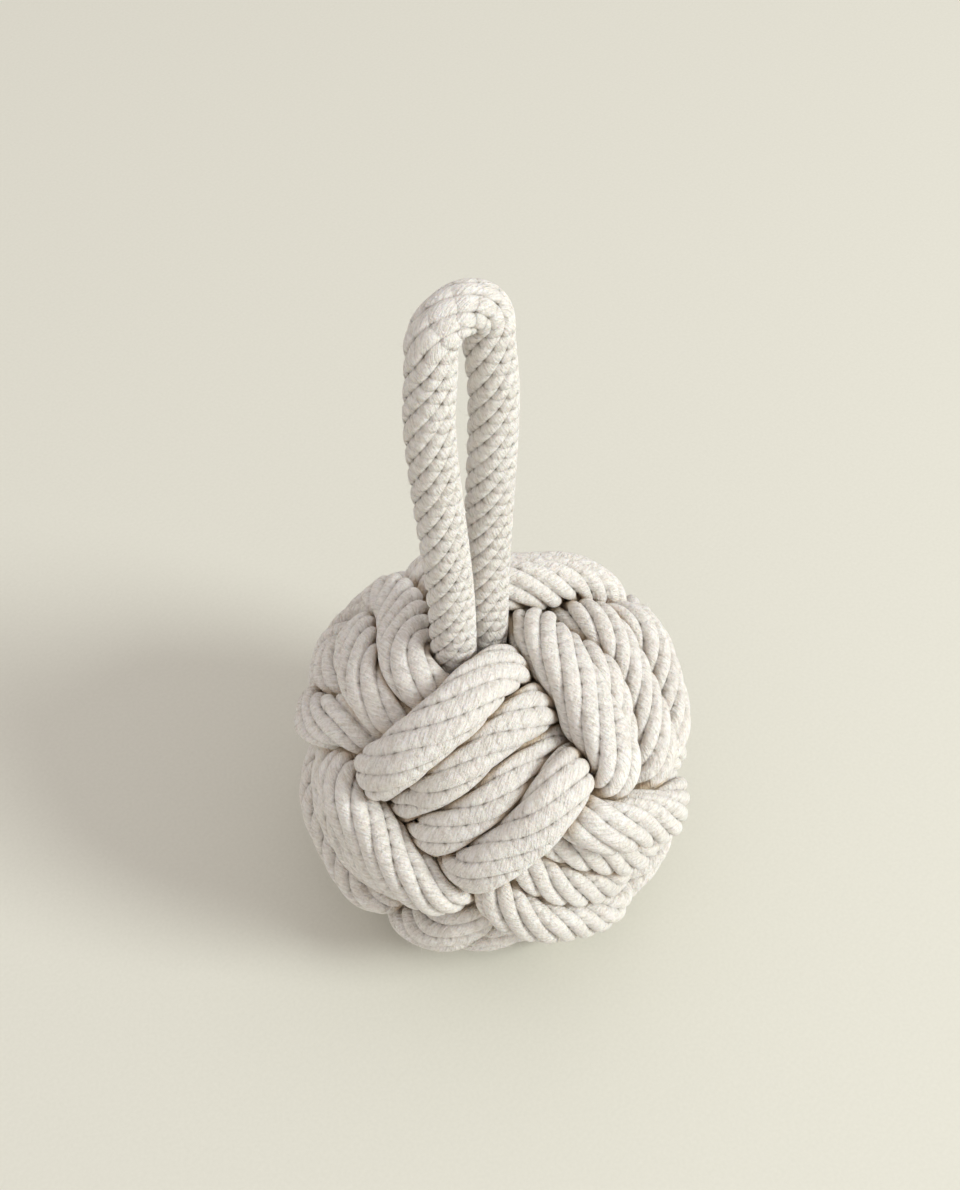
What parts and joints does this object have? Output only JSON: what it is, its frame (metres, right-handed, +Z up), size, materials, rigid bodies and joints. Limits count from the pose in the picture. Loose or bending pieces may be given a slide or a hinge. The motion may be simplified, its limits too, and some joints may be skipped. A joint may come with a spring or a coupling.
{
  "type": "rope knot doorstop",
  "caption": "Ball-shaped knot of thick woven cotton rope round a sand bag, with a standing rope loop as its handle, for holding a door open",
  "frame": {"origin": "on the floor under the middle of the ball", "axes": "+Z up, X in the plane of the handle's two legs where they come out of the ball, Y across it"},
  "size_m": [0.1469, 0.151, 0.2929],
  "materials": {
    "cotton_rope": "matt natural cotton, laid rope",
    "waxed_twine": "waxed twine",
    "bag_canvas": "unbleached canvas",
    "sand": "dry washed sand"
  },
  "bodies": {
    "ball": {"weave_rope_1": "cotton_rope", "weave_rope_2": "cotton_rope", "weave_rope_3": "cotton_rope", "weave_rope_4": "cotton_rope", "handle_tail_left": "cotton_rope", "handle_tail_right": "cotton_rope", "tail_whipping_left": "waxed_twine", "tail_whipping_right": "waxed_twine", "bag_neck_tie": "waxed_twine", "ballast_bag": "bag_canvas", "sand_fill": "sand"},
    "handle": {"handle_loop": "cotton_rope"}
  },
  "joints": [
    {"name": "handle_lean", "type": "hinge", "parent": "ball", "child": "handle", "pos_m": [-0.006, 0.0072, 0.13814], "axis": [1, 0, 0], "range_deg": [-40, 40], "stiffness_Nm_per_rad": 0.3}
  ]
}
